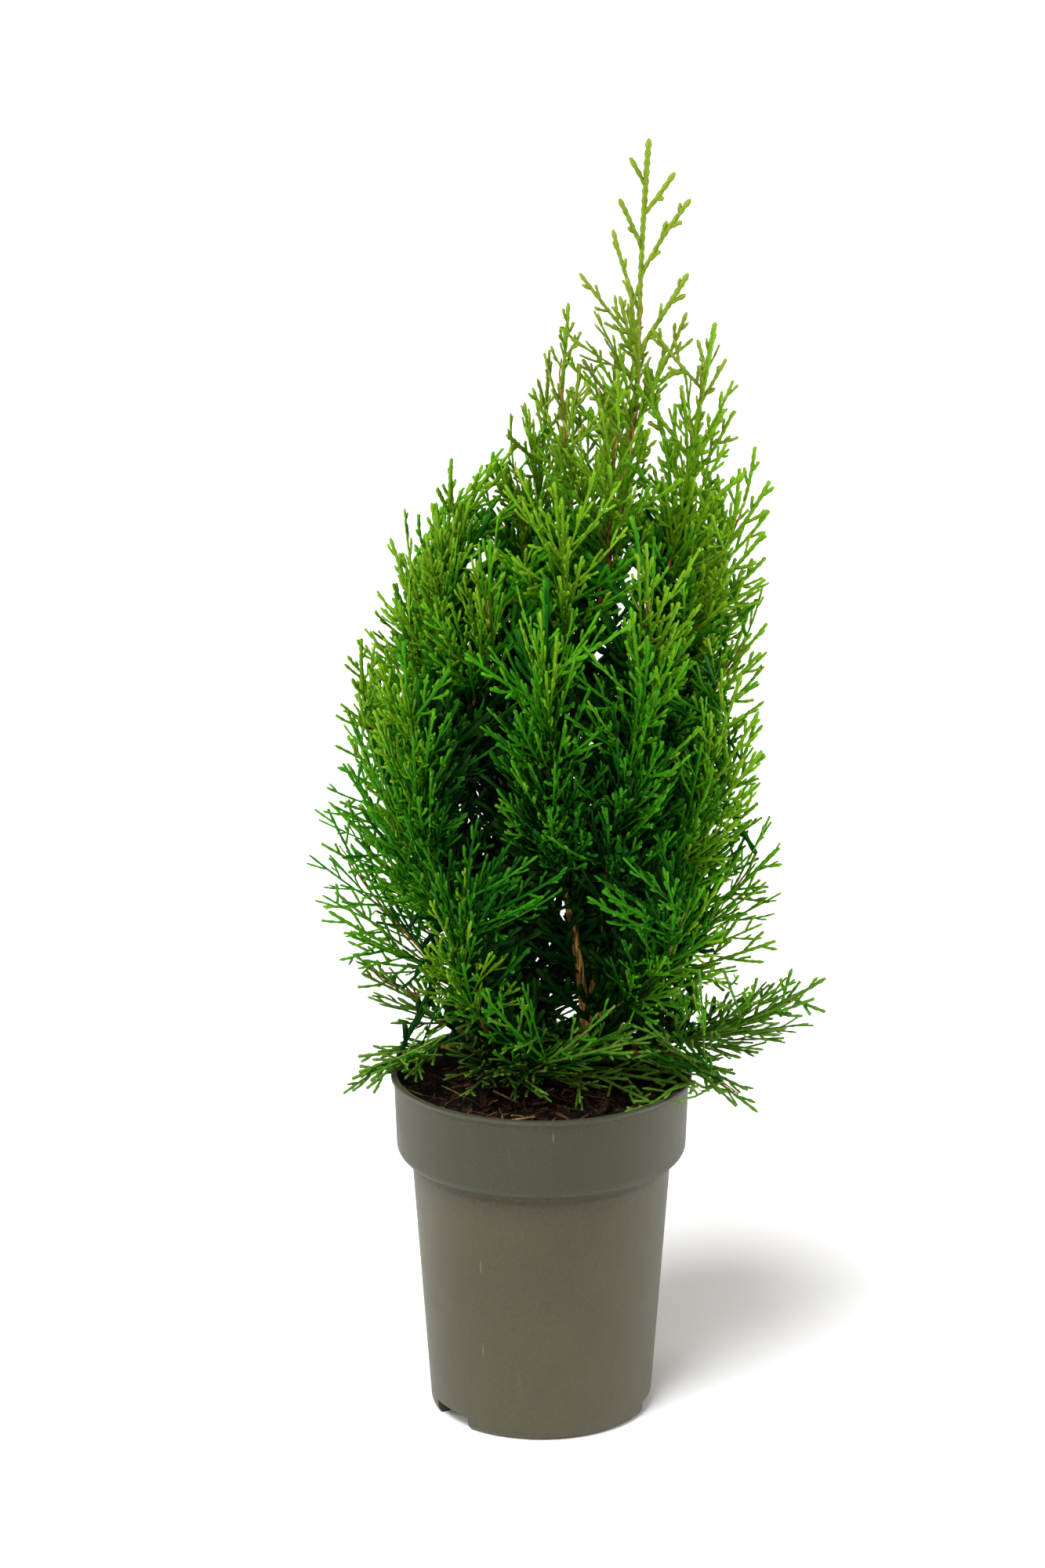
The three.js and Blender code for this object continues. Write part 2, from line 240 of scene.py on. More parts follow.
def closed_faces(rings, sides):
    """Quads between the rings, and fans that close the ends to the two points after the rings."""
    side = np.arange(sides)
    after = (side + 1) % sides
    foot = rings * sides
    last = foot - sides
    fans = [
        np.stack([after, side, np.full(sides, foot)], axis=-1),
        np.stack([last + side, last + after, np.full(sides, foot + 1)], axis=-1),
    ]
    return [ring_faces(rings, sides), np.vstack(fans)]


def tube(path, radii, sides, relief=None):
    """(points, faces) of a closed tube along a path; relief(share, turn) swells it."""
    path = np.asarray(path, float)
    rings = len(path)
    tangents = unit(np.gradient(path, axis=0))
    across = unit(np.cross(tangents, [0.3, 0.9, 0.1]))
    over = np.cross(tangents, across)
    turn = np.linspace(0, 2 * math.pi, sides, endpoint=False)
    share = np.linspace(0, 1, rings)
    swell = 1 if relief is None else relief(share[:, None], turn[None, :])
    reach = (np.asarray(radii)[:, None] * swell)[..., None]
    ring = across[:, None] * np.cos(turn)[None, :, None] + over[:, None] * np.sin(turn)[None, :, None]
    points = (path[:, None] + ring * reach).reshape(-1, 3)
    return np.vstack([points, path[0], path[-1]]), closed_faces(rings, sides)


def repeated(faces, count, size):
    """A block of faces for each of some copies, which have size points each."""
    return (faces + (np.arange(count) * size)[:, None, None]).reshape(-1, faces.shape[1])


def joined(parts):
    """Several (points, [blocks of faces]) as one."""
    points, blocks, offset = [], {}, 0
    for part_points, part_faces in parts:
        points.append(part_points)
        for block in part_faces:
            blocks.setdefault(block.shape[1], []).append(block + offset)
        offset += len(part_points)
    return np.vstack(points), [np.vstack(blocks[size]) for size in sorted(blocks)]


# ---- materials ----

def grey(value):
    """A grey colour."""
    return (value, value, value)


def tinted(colour, tint, more=(0.0, 0.0, 0.0)):
    """A colour times a tint, plus a little more of each part."""
    return tuple(min(1.0, part * share + extra) for part, share, extra in zip(colour, tint, more))


class Nodes:
    """A short way to write a node material. Inputs go by name, with _ for a space."""

    def __init__(self, name):
        self.material = bpy.data.materials.new(name)
        self.material.use_nodes = True
        self.tree = self.material.node_tree
        self.shader = self.tree.nodes["Principled BSDF"]
        self.place = self.tree.nodes.new("ShaderNodeTexCoord").outputs["Object"]

    def feed(self, socket, value):
        """Links an output to an input, or sets the input to a plain value."""
        if isinstance(value, bpy.types.NodeSocket):
            self.tree.links.new(value, socket)
        elif socket.type == "RGBA":
            socket.default_value = (*value, 1)
        else:
            socket.default_value = value

    def node(self, kind, **inputs):
        """A new node with some of its inputs fed."""
        node = self.tree.nodes.new("ShaderNode" + kind)
        for name, value in inputs.items():
            self.feed(node.inputs[name.replace("_", " ")], value)
        return node

    def set(self, **inputs):
        """Feeds inputs of the shader."""
        for name, value in inputs.items():
            self.feed(self.shader.inputs[name.replace("_", " ")], value)

    def noise(self, scale, detail=3.0, stretch=None, roughness=0.5):
        """Noise of 0 to 1 with bumps of about 1/scale metres, longer along an axis of small stretch."""
        place = self.place
        if stretch:
            place = self.node("Mapping", Vector=place, Scale=stretch).outputs["Vector"]
        node = self.node("TexNoise", Vector=place, Scale=scale, Detail=detail, Roughness=roughness)
        return node.outputs["Fac"]

    def ramp(self, value, *stops):
        """A colour ramp through (position, (r, g, b)) stops."""
        node = self.node("ValToRGB", Fac=value)
        elements = node.color_ramp.elements
        while len(elements) < len(stops):
            elements.new(0.5)
        for element, (position, colour) in zip(elements, stops):
            element.position = position
            element.color = (*colour, 1)
        return node.outputs["Color"]

    def mix(self, value, first, second, blend="MIX"):
        """Colours mixed by a value."""
        node = self.node("Mix")
        node.data_type = "RGBA"
        node.blend_type = blend
        for index, given in ((0, value), (6, first), (7, second)):
            self.feed(node.inputs[index], given)
        return node.outputs[2]

    def attribute(self, name):
        """The three parts of a mesh attribute."""
        node = self.node("Attribute")
        node.attribute_name = name
        return self.node("SeparateXYZ", Vector=node.outputs["Vector"]).outputs

    def maths(self, operation, *values):
        """A value worked out from others by a Math node."""
        node = self.node("Math")
        node.operation = operation
        for socket, value in zip(node.inputs, values):
            self.feed(socket, value)
        return node.outputs["Value"]

    def between(self, value, low, high):
        """A value of 0 to 1 spread from low to high."""
        return self.node("MapRange", Value=value, To_Min=low, To_Max=high).outputs["Result"]

    def spot(self, place, size, strength):
        """Fades from strength in the middle of a place to 0 at its edge, with a ragged outline."""
        mapping = self.node("Mapping", Vector=self.place, Location=place, Scale=size)
        mapping.vector_type = "TEXTURE"
        length = self.node("VectorMath", Vector=mapping.outputs["Vector"])
        length.operation = "LENGTH"
        ragged = self.maths("ADD", length.outputs["Value"], self.between(self.noise(700.0), -0.5, 0.5))
        fade = self.maths("MULTIPLY", self.maths("SUBTRACT", 1.0, ragged), 2.0 * strength)
        return self.node("Clamp", Value=fade, Max=min(1.0, strength)).outputs["Result"]

    def bump(self, height, distance, strength=1.0):
        """Fine relief from a height, by at most that distance in metres."""
        node = self.node("Bump", Height=height, Distance=distance, Strength=strength)
        self.set(Normal=node.outputs["Normal"])


# Painted shade in the groove at each scale leaf's foot, painted light on its point.
LEAF_PAINTED_SHADING = ((0.0, grey(0.45)), (0.2, grey(0.9)), (0.7, grey(1.05)), (1.0, grey(1.45)))  # foot to point
TIP_TINT, TIP_MORE = (1.22, 1.12, 1.5), (0.008, 0.009, 0.003)  # how much paler the tips of cords are


def scale_leaf_material(name, colour, leaves):
    """Overlapping scale leaves of one plain green: each with painted shade at its foot and painted light
    towards its point, and every tip paler.
    """
    nodes = Nodes(name)
    reach, edge, tip = nodes.attribute("scale")
    rows = nodes.maths("MULTIPLY", reach, float(leaves))
    leaf = nodes.maths("FRACT", nodes.maths("MULTIPLY_ADD", edge, 0.5, rows))
    # painted shade in the groove at each leaf's foot and painted light on its point
    painted_leaf_shading = nodes.ramp(leaf, *LEAF_PAINTED_SHADING)
    darker, lighter = tinted(colour, grey(0.75)), tinted(colour, grey(1.2))
    tone = nodes.ramp(nodes.noise(300.0, 2.0), (0.3, darker), (0.7, lighter))
    tone = nodes.mix(nodes.maths("POWER", tip, 4.0), tone, tinted(colour, TIP_TINT, TIP_MORE))
    tone = nodes.mix(1.0, tone, painted_leaf_shading, "MULTIPLY")
    nodes.set(Base_Color=tone, Roughness=0.65, Specular_IOR_Level=0.06)
    nodes.bump(leaf, 0.0004, 0.8)
    return nodes.material


def bark_material(name, crack, middle, light):
    """Stringy bark that peels in thin upright strips, with dark cracks between them."""
    nodes = Nodes(name)
    strips = nodes.noise(700.0, 4.0, stretch=(1, 1, 0.16), roughness=0.65)
    tone = nodes.ramp(strips, (0.38, crack), (0.50, middle), (0.64, light))
    patches = nodes.ramp(nodes.noise(130.0, 3.0), (0.35, grey(0.6)), (0.65, grey(1.15)))
    tone = nodes.mix(1.0, tone, patches, "MULTIPLY")
    nodes.set(Base_Color=tone, Roughness=0.75, Specular_IOR_Level=0.3)
    nodes.bump(strips, 0.0010)
    return nodes.material


# ---- stems and boughs ----

STEM_DETAIL = (26, 0.0020, 14)  # cuts to take the line from, distance between rings, corners of a ring
BOUGH_DETAIL = (9, 0.0022, 9)
BARK_OVERLAP = 0.012  # length of bark inside the foot of a stem's green end
LIMB_LINES = {}  # the middle line of each limb by its name, for the sprays that grow from it


def bark_relief(seed, length, girth):
    """Uneven swelling of a limb: long fibres round it, knots and rings of old leaf scars along it."""
    dice = np.random.default_rng(seed)
    phases = dice.uniform(0, 2 * math.pi, 6)

    def swell(share, turn):
        fibres = 0.10 * np.sin(5 * turn + 2.2 * np.sin(share * length / 0.02 + phases[0]) + phases[1])
        fine = 0.06 * np.sin(9 * turn + 3 * np.sin(share * length / 0.011 + phases[2]) + phases[3])
        knots = 0.09 * np.sin(share * length / girth * 0.9 + phases[4] + np.sin(turn + phases[5]))
        return 1 + fibres + fine + knots

    return swell


def limb(name):
    """A stem or bough with bark relief along the middle of its solid."""
    count, spacing, sides = STEM_DETAIL if name in STEMS else BOUGH_DETAIL
    cuts = Slices(name, UP if name in STEMS else None, count)
    rings = max(8, int(cuts.length / spacing))
    share = np.linspace(0, 1, rings)
    path = cuts.centre(share)
    radii = np.interp(share, np.linspace(0, 1, len(cuts.cuts)), cuts.radii())
    LIMB_LINES[name] = path
    if name in STEMS:
        bark_end = path[-1, 2] - STEM_END_LENGTH + BARK_OVERLAP
        radii *= np.interp(path[:, 2], [bark_end - 2 * BARK_OVERLAP, bark_end], [1.0, 0.4])
        path, radii = path[path[:, 2] < bark_end], radii[path[:, 2] < bark_end]
    seed = sum(map(ord, name))
    return tube(path, radii, sides, bark_relief(seed, cuts.length, radii.mean()))


def build_limbs():
    """The four stems and the main boughs."""
    bark = bark_material("flaky_bark", (0.035, 0.014, 0.005), (0.25, 0.115, 0.019), (0.62, 0.36, 0.07))
    for name in (*STEMS, *BOUGHS):
        piece = new_piece(f"bark_{name}", *limb(name), bark, "bark")
        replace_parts(piece, name)


# ---- sprays ----

FIELDS = ("start", "aim", "bend", "flat", "length", "width", "light")
SHORTEST = 2.7 * MM  # shoots shorter than this are left out
RIM_REACH, RIM_CLEARANCE, RIM_SLOPE = 0.004, 0.0018, 1.3  # how sprays keep clear of the pot's rim

# Side shoots, in degrees or as shares of the parent's length, width and distance between shoots.
PLACE_SPREAD, LAST_PLACE, ANGLE_SPREAD, BEND_SPREAD = 0.14, 0.96, 8, 0.05
ANGLE_AT_FOOT, ANGLE_LOSS = 1.15, 0.35  # shoots near the end of the parent leave at a smaller angle
LENGTH_AT_FOOT, LENGTH_GAIN = 0.6, 2  # the first few shoots are shorter than the next
LENGTHS, WIDTHS = (0.65, 1.15), (0.86, 1.0)
TWIG = dict(bare=0.12, roll=14, fade=0.5)  # shoots of the last order
TWIG_PARENT, TWIG_LIGHTER = 1.7, 0.05  # their parents' least length in pitches, added lightness

# Cords of scale leaves: their half width along them, and how leaves swell every other ring.
RING = np.array([[1, 0], [0, 1], [-1, 0], [0, -1]], float)
FOOT_SHARE, END_GAIN, LAST_RING, TIP_LENGTH = 0.92, 0.22, 0.86, 0.45
SIDE_LEAF, FRONT_LEAF, FLAT_SIDE = 1.2, 0.84, 0.60


def cords(**values):
    """Branchlets: where each starts and aims, how it bends, the normal of its spray, its length and
    width, and how light its green is, as painted light and shade."""
    return {field: np.asarray(values[field], float) for field in FIELDS}


def gather(groups):
    """Several groups of branchlets as one."""
    return {field: np.concatenate([group[field] for group in groups]) for field in FIELDS}


def picked(cord, choice):
    """Some of a group of branchlets."""
    return {field: cord[field][choice] for field in FIELDS}


def along(cord, share):
    """(points, directions) of branchlets at shares of their lengths."""
    share = share[:, None]
    reach = cord["length"][:, None]
    points = cord["start"] + (cord["aim"] * share + cord["bend"] * share**2) * reach
    return points, unit(cord["aim"] + 2 * cord["bend"] * share)


def side_shoots(parents, style):
    """Branchlets that leave their parents to the left and right by turns, near the parents' plane."""
    first, pitch = style["bare"], style["pitch"]
    counts = np.maximum(0, (parents["length"] * (1 - first) / pitch)).astype(int)
    owner = np.repeat(np.arange(len(counts)), counts)
    order = np.arange(len(owner)) - np.repeat(np.cumsum(counts) - counts, counts)
    parent = picked(parents, owner)
    number = len(owner)
    uneven = chance.normal(0, PLACE_SPREAD * pitch, number)
    place = first * parent["length"] + (order + 0.5) * pitch + uneven
    share = np.clip(place / parent["length"], 0, LAST_PLACE)
    points, directions = along(parent, share)
    hand = np.where((order + owner) % 2 == 0, 1.0, -1.0)
    flat = turned(parent["flat"], directions, np.radians(chance.normal(0, style["roll"], number)))
    side = unit(np.cross(flat, directions)) * hand[:, None]
    spread = np.radians(chance.normal(style["angle"], ANGLE_SPREAD, number))
    spread = spread * (ANGLE_AT_FOOT - ANGLE_LOSS * share)
    aim = directions * np.cos(spread)[:, None] + side * np.sin(spread)[:, None]
    since = (share - first) / (1 - first)
    shape = np.minimum(1, LENGTH_AT_FOOT + since * LENGTH_GAIN)
    shape = shape * np.maximum(1 - since, 0.02) ** style["fade"]
    bend = UP * style["lift"] - side * (style["curl"] * np.sin(spread))[:, None]
    bend = bend + chance.normal(0, BEND_SPREAD, (number, 3))
    return cords(
        start=points, aim=aim, bend=bend, flat=flat,
        length=parent["length"] * style["ratio"] * shape * chance.uniform(*LENGTHS, number),
        width=parent["width"] * chance.uniform(*WIDTHS, number),
        light=parent["light"] + 0.12 * share - 0.03,
    )


def spray(axes, style):
    """Flat sprays on the given axes, three orders deep."""
    shoots = side_shoots(axes, style)
    parents = picked(shoots, shoots["length"] > TWIG_PARENT * style["fine"])
    twigs = side_shoots(parents, dict(style, **TWIG, pitch=style["fine"], ratio=style["fine_ratio"]))
    twigs["light"] += TWIG_LIGHTER
    made = gather([axes, shoots, twigs])
    return picked(made, made["length"] > SHORTEST)


def ring_counts(made, ring_step):
    """How many rings each branchlet gets."""
    return np.clip(np.round(made["length"] / ring_step), 1, 60).astype(int) + 1


def over_the_rim(points):
    """Points along cords or shoots, raised where these would run through the rim of the pot."""
    from_rim = abs(np.linalg.norm(points[..., :2], axis=-1) - RIM_RADIUS)
    beside = np.maximum(0, from_rim - RIM_REACH)
    raised = points.copy()
    raised[..., 2] = np.maximum(points[..., 2], POT_TOP + RIM_CLEARANCE - RIM_SLOPE * beside)
    return raised


def cords_of_rings(group, count):
    """(points, faces) of branchlets with as many rings each, whose leaves show sideways and in front
    by turns. After its place, a point has its ring, 1 on the edge of the spray and 0 on its flat
    side, and its share of the cord's length."""
    number = len(group["length"])
    share = np.linspace(0, 1, count)
    rings = [along(group, np.full(number, place)) for place in share]
    centre, direction = (np.stack(rows, axis=1) for rows in zip(*rings))
    centre = over_the_rim(centre)
    side = unit(np.cross(group["flat"][:, None], direction))
    front = np.cross(direction, side)
    sideways = np.arange(count) % 2 == 1
    half = group["width"][:, None] / 2 * (FOOT_SHARE + END_GAIN * share**2)
    half = half * np.where(share < 0.999, 1.0, LAST_RING)
    wide = half * np.where(sideways, SIDE_LEAF, FRONT_LEAF)
    thick = half * np.where(sideways, FLAT_SIDE, FRONT_LEAF)
    ring = (
        side[:, :, None] * (RING[:, 0] * wide[..., None])[..., None]
        + front[:, :, None] * (RING[:, 1] * thick[..., None])[..., None]
    )
    points = (centre[:, :, None] + ring).reshape(number, -1, 3)
    tips = centre[:, -1] + direction[:, -1] * (group["width"] * TIP_LENGTH)[:, None]
    points = np.concatenate([points, tips[:, None]], axis=1)
    size = points.shape[1]
    edge = np.tile(abs(RING[:, 0]), count)
    scale = np.stack([np.repeat(np.arange(count), 4), edge, np.repeat(share, 4)], axis=-1)
    scale = np.vstack([scale, [count, 0, 1]])
    points = np.concatenate([points, np.broadcast_to(scale, points.shape)], axis=-1)
    last = (count - 1) * 4
    quads = np.vstack([ring_faces(count, 4), [[3, 2, 1, 0]]])
    point = np.array([[last + corner, last + (corner + 1) % 4, size - 1] for corner in range(4)])
    return points.reshape(-1, 6), [repeated(block, number, size) for block in (quads, point)]


def cord_mesh(made, ring_step):
    """(points, faces) of branchlets as flattened cords, with rings about a step apart."""
    counts = ring_counts(made, ring_step)
    return joined([cords_of_rings(picked(made, counts == count), count) for count in np.unique(counts)])


# ---- the crown ----

# How sprays grow, in metres and degrees. Tips lie spacing apart, at fill times the radius of a mass,
# as far along it as up_to. Sprays start on its middle line, lower by climb of its length and fan of
# their own reach; in a filling layer on wood, best at least reach away and lower by STEEPNESS times
# climb of that. They bend up by rise, turn out of the upright plane by twist, and are bare of side
# shoots on their first share. Those are pitch apart, ratio times as long and shorter towards the tip
# by fade. They leave at angle, bend up by lift and back by curl, and turn out of the plane by roll.
# fine and fine_ratio are the pitch and ratio of the twigs on them.
USUAL = dict(
    spacing=0.0162, fill=(0.86, 1.16), up_to=1.0, climb=0.22, fan=0.80, reach=0.045, rise=0.15, twist=34,
    width=0.0017, bare=0.16, pitch=0.0062, ratio=0.40, fade=0.6, angle=40, lift=0.05, curl=0.34, roll=18,
    fine=0.0054, fine_ratio=0.40,
)
LACY = dict(
    USUAL, spacing=0.0165, fill=(0.95, 1.2), climb=0.30, rise=0.07, width=0.0016, pitch=0.0076, ratio=0.46,
    angle=42, lift=0.01, fine=0.0070,
)
ARCHING = dict(
    LACY, spacing=0.0155, fill=(0.95, 1.3), climb=0.40, fan=0.6, rise=0.05, twist=18, bare=0.25,
    pitch=0.0100, ratio=0.50, angle=40, curl=0.2, fine=0.0088,
)
NET = dict(
    ARCHING, spacing=0.0172, width=0.0015, pitch=0.0108, ratio=0.52, angle=45, curl=0.15, fine=0.0092,
)
FRINGE = dict(ARCHING, spacing=0.0095, climb=0.5, fan=0.5, twist=20, pitch=0.0088, angle=37, rise=0.02)
ON_SOIL = dict(
    ARCHING, reach=0.060, climb=0.10, rise=0.03, twist=20, width=0.0018, pitch=0.0080, ratio=0.34,
    fine=0.0076,
)
OPEN = dict(
    USUAL, spacing=0.0152, fill=(0.9, 1.3), climb=0.18, fan=0.75, rise=0.12, twist=24, width=0.0018,
    pitch=0.0092, ratio=0.44, angle=39, curl=0.25, fine=0.0078, fine_ratio=0.42,
)
TOP = dict(
    USUAL, spacing=0.0180, climb=0.24, twist=30, width=0.0018, pitch=0.0074, angle=36, bare=0.12, curl=0.22,
    fine=0.0062, fine_ratio=0.36,
)
LEADER = dict(TOP, spacing=0.020, up_to=0.45)
INSIDE = dict(USUAL, width=0.0025, pitch=0.0074, fine=0.0095, rise=0.12, twist=70)
CORE = dict(
    INSIDE, width=0.0034, bare=0.02, pitch=0.0085, ratio=0.5, angle=48, curl=0.1, rise=0.0, twist=90,
)
STEM_END = dict(
    USUAL, width=0.0024, bare=0.04, pitch=0.0160, ratio=0.62, angle=35, lift=0.03, curl=0.05, roll=30,
    fade=0.9, fine=0.0098, fine_ratio=0.22,
)
STYLES = dict(
    left_low=NET, left_outer=NET, right_low=ARCHING, right_outer=OPEN, right_upper=OPEN,
    right_shoulder=OPEN, leader=LEADER,
)
LACY_BELOW, TOP_ABOVE = 0.3, 0.68  # shares of the crown's height

EVERYWHERE = (-1.0, 0.090)  # but for the right edge, where the crown is sparse
LEFT_EDGE = (  # height, x: the crown is sparse to the left of it
    (0.19, -0.050), (0.26, -0.056), (0.30, -0.058), (0.33, -0.068), (0.36, -0.092), (0.40, -0.090),
    (0.44, -0.062), (0.47, -0.036), (0.50, -0.016), (0.56, 0.0),
)
FILLING = (  # style, distance between tips, their heights, their depth in the crown, painted light they add (painted shade where below 0), reach in x
    # The core and inside layers are darkened with painted shade.
    (CORE, 0.0225, (0.190, 0.47), (0.036, 1.0), -0.30, EVERYWHERE),
    (CORE, 0.0150, (0.215, 0.30), (0.030, 1.0), -0.30, (-0.002, 0.046)),
    (INSIDE, 0.0195, (0.188, 0.48), (0.018, 1.0), -0.20, EVERYWHERE),
    (LACY, 0.019, (0.200, 0.29), (0.0, 0.018), 0.0, EVERYWHERE),
    (NET, 0.024, (0.235, 0.330), (-0.004, 0.010), 0.0, (-0.2, -0.062)),
    (ON_SOIL, 0.020, (0.178, 0.203), (-0.012, 0.05), 0.12, (-1.0, 0.072)),
    (USUAL, 0.0158, (0.29, 0.46), (0.0, 0.028), 0.0, EVERYWHERE),
    (TOP, 0.0185, (0.46, 0.495), (0.0, 1.0), 0.0, EVERYWHERE),
    (TOP, 0.0185, (0.495, 0.592), (0.0, 1.0), 0.0, (-1.0, 0.052)),
)
WOOD_FROM = 0.172  # lowest height at which a filling spray leaves the wood
STEEPNESS, FLAT_COST, SHORT_COST = 2.2, 4, 2  # by which a filling spray chooses where it starts
BARE_FRONTS = (  # x, half width and the heights between which no spray ends before a stem's bark
    (0.016, 0.017, 0.20, 0.285), (0.031, 0.0085, 0.436, 0.478), (0.062, 0.0075, 0.440, 0.478),
)
BARK_DEPTH = 0.03  # sprays further back than this are behind the bark
INNER_DEPTH, INNER_SPACING = 0.03, 0.7  # deep in the crown the tips of a mass are further apart
FOOT_SPREAD, LAST_FOOT = 0.03, 0.85  # shares of a mass's length
AXIS_SLACK = 1.02  # length of a bent spray for the distance between its ends

# The first six greens are lit and shaded copies of one green, dealt out as painted light and shade; mossy
# is the duller green low down.
GREENS = (  # name, lightness it reaches up to, colour, distance between rings, scale leaves to a ring
    ("deep", 0.18, (0.001, 0.026, 0.0005), 0.0060, 4),
    ("dark", 0.34, (0.0045, 0.080, 0.001), 0.0040, 3),
    ("middle", 0.50, (0.024, 0.168, 0.001), 0.0030, 2),
    ("well_lit", 0.66, (0.060, 0.243, 0.003), 0.0024, 2),
    ("bright", 0.82, (0.128, 0.300, 0.006), 0.0021, 2),
    ("pale", 9.0, (0.168, 0.262, 0.015), 0.0023, 2),
    ("mossy", 99.0, (0.070, 0.175, 0.012), 0.0026, 2),
)
LIGHT_BY_HEIGHT = (  # height, painted light and shade of the green inside the crown, and the painted light its outside adds
    (0.16, 0.25, 0.20), (0.25, 0.19, 0.25), (0.33, 0.14, 0.21), (0.40, 0.29, 0.25), (0.45, 0.54, 0.22),
    (0.50, 0.70, 0.18), (0.56, 0.80, 0.12),
)
SHELL_DEPTH = 0.016  # over which the painted light of the outside fades inwards
PAINTED_SIDE_LIGHT, SIDES_FROM, SIDES_OVER = 0.31, 0.045, 0.045  # painted light that the far left and right add
SIDES_TOP, SIDES_FADE = 0.54, 0.12  # and the height where that ends
LIGHTEST = ((0.20, 0.60), (0.235, 0.76), (0.39, 0.78), (0.49, 0.81), (0.545, 1.40))  # height, limit of the painted light
SHADES = dict(  # what some masses add to their painted light and shade
    left_low=-0.16, left_outer=-0.16, front_left=-0.12, front_left_low=0.50, front_plume=0.06,
    front_right=-0.10, front_skirt=0.12, right_skirt=0.04, right_outer=0.10, right_upper=0.10,
    right_shoulder=0.08,
)
MOSSY = 50.0  # stands for the duller green of light branchlets low down
MOSSY_FROM, MOSSY_TOP, MOSSY_SPREAD = 0.40, 0.212, 0.008  # least lightness, greatest height, its spread
MOSSY_LEFT, MOSSY_CLIMB = 0.04, 0.6  # where on the left that height starts to rise, and its slope
TRIANGLES_EACH = 190000  # about as many in one piece


def style_of(part, height):
    """The way sprays grow on the outside of a mass, by its part and height of the crown."""
    if "droop" in part or "skirt" in part:
        return FRINGE
    usual = LACY if height < LACY_BELOW else TOP if height > TOP_ABOVE else USUAL
    return STYLES.get(part, usual)


def painted_light_at(points, envelope):
    """The painted light and shade of the green at points: painted shade low down and deep inside, painted
    light at the top and edges.
    """
    heights, inside, outside = np.transpose(LIGHT_BY_HEIGHT)
    shell = np.exp(-np.maximum(envelope.depth(points), -0.01) / SHELL_DEPTH)
    sideways = np.clip((abs(points[:, 0] - CROWN_MIDDLE[0]) - SIDES_FROM) / SIDES_OVER, 0, 1)
    light = np.interp(points[:, 2], heights, inside) + np.interp(points[:, 2], heights, outside) * shell
    return light + PAINTED_SIDE_LIGHT * sideways * np.clip((SIDES_TOP - points[:, 2]) / SIDES_FADE, 0, 1)


def grown(starts, ends, light, style):
    """Sprays from starts to ends, which bend upwards and lie in upright outward planes."""
    number = len(ends)
    chord = ends - starts
    length = np.linalg.norm(chord, axis=1) * AXIS_SLACK
    outward = unit((ends - CROWN_MIDDLE) * [1, 1, 0])
    bend = (UP - outward * 0.5) * style["rise"]
    lean = outward + UP * 0.2 + chance.normal(0, 0.2, (number, 3))
    flat = unit(np.cross(unit(chord), lean))
    flat = turned(flat, unit(chord), np.radians(chance.normal(0, style["twist"], number)))
    axes = cords(
        start=starts, aim=chord / length[:, None] - bend, bend=bend, flat=flat, length=length,
        width=style["width"] * chance.uniform(0.9, 1.1, number),
        light=light + chance.normal(0, 0.06, number),
    )
    return spray(axes, style)


def before_bark(points):
    """Whether each point lies in front of a stretch of stem that is seen bare."""
    x, y, z = points.T
    hides = np.zeros(len(points), dtype=bool)
    for middle, half_width, low, high in BARE_FRONTS:
        hides |= (abs(x - middle) < half_width) & (y < BARK_DEPTH) & (z > low) & (z < high)
    return hides


def mass_sprays(name, cuts, envelope):
    """The sprays of one mass, which leave its middle and end all over its surface."""
    part = name.removeprefix("foliage_")
    style = style_of(part, envelope.height_share(cuts.points.mean(axis=0, keepdims=True))[0])

    def spacing(points):
        return style["spacing"] * (1 + INNER_SPACING * (envelope.depth(points) > INNER_DEPTH))

    ends = cuts.spread_points(spacing)
    share = np.clip(cuts.share_of(ends), 0, 1)
    ends, share = ends[share <= style["up_to"]], share[share <= style["up_to"]]
    number = len(ends)
    centres = cuts.centre(share)
    reach = np.linalg.norm(ends - centres, axis=1)
    ends = centres + (ends - centres) * chance.uniform(*style["fill"], number)[:, None]
    foot = share - style["climb"] - style["fan"] * reach / cuts.length
    foot = foot + chance.normal(0, FOOT_SPREAD, number)
    starts = cuts.centre(np.clip(foot, 0, LAST_FOOT))
    # painted light and shade of each spray, with what its mass adds
    light = painted_light_at(ends, envelope) + SHADES.get(part, 0.0)
    seen = ~before_bark(ends)
    return grown(starts[seen], ends[seen], light[seen], style)


def shoot_line(cuts, rings=14):
    """The woody shoot of a mass, from the nearest limb along the middle of the solid."""
    limbs = np.vstack(list(LIMB_LINES.values()))
    foot = cuts.centre(0.0)[0]
    root = limbs[np.linalg.norm(limbs - foot, axis=1).argmin()]
    return over_the_rim(np.vstack([root, cuts.centre(np.linspace(0.04, 0.8, rings))]))


def filling_sprays(wood, envelope, style, step, heights, depths, shade, reach):
    """Sprays all through a layer of the crown, each from wood a little below its end."""
    low, high = CAD_BOX
    places = (np.arange(low[0], high[0], step), np.arange(low[1], high[1], step), np.arange(*heights, step))
    ends = np.stack(np.meshgrid(*places, indexing="ij"), axis=-1).reshape(-1, 3)
    ends += chance.uniform(-0.5, 0.5, ends.shape) * step
    depth = envelope.depth(ends)
    left = np.maximum(reach[0], np.interp(ends[:, 2], *np.transpose(LEFT_EDGE)))
    across = (ends[:, 0] > left) & (ends[:, 0] < reach[1])
    ends = ends[(depth > depths[0]) & (depth < depths[1]) & across & ~before_bark(ends)]
    offset = ends[:, None] - wood[None]
    distance = np.linalg.norm(offset, axis=-1)
    too_flat = np.maximum(0, STEEPNESS * style["climb"] * distance - offset[..., 2])
    too_short = np.maximum(0, style["reach"] - distance)
    starts = wood[(distance + FLAT_COST * too_flat + SHORT_COST * too_short).argmin(axis=1)]
    # painted light and shade of each spray
    return grown(starts, ends, painted_light_at(ends, envelope) + shade, style)


